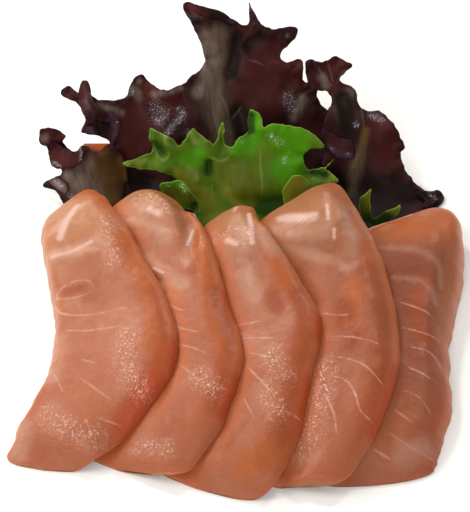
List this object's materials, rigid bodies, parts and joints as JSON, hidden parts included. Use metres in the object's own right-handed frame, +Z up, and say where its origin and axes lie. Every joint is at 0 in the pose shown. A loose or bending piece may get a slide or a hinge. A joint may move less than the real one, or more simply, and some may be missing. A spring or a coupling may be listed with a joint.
{
  "type": "salmon sashimi helping",
  "caption": "Thick slices of raw salmon fanned like shingles in front of a garnish of frilly red and green lettuce with a bit of carrot.",
  "frame": {"origin": "middle of the arrangement's box, on the surface it lies on", "axes": "+Z up, +X to the right across the fan, +Y from the slices' tips back to the leaves"},
  "size_m": [0.1052, 0.1226, 0.0377],
  "materials": {
    "salmon": "wet",
    "red_leaf": "satin",
    "green_leaf": "satin",
    "carrot": "matt"
  },
  "bodies": {
    "root": {"slice_1": "salmon", "slice_2": "salmon", "slice_3": "salmon", "slice_4": "salmon", "slice_5": "salmon", "red_leaf_centre": "red_leaf", "red_leaf_left": "red_leaf", "red_leaf_right": "red_leaf", "green_leaf": "green_leaf", "green_lobe_front": "green_leaf", "green_tip_left": "green_leaf", "green_sprig_right": "green_leaf", "carrot_piece": "carrot"}
  },
  "joints": []
}
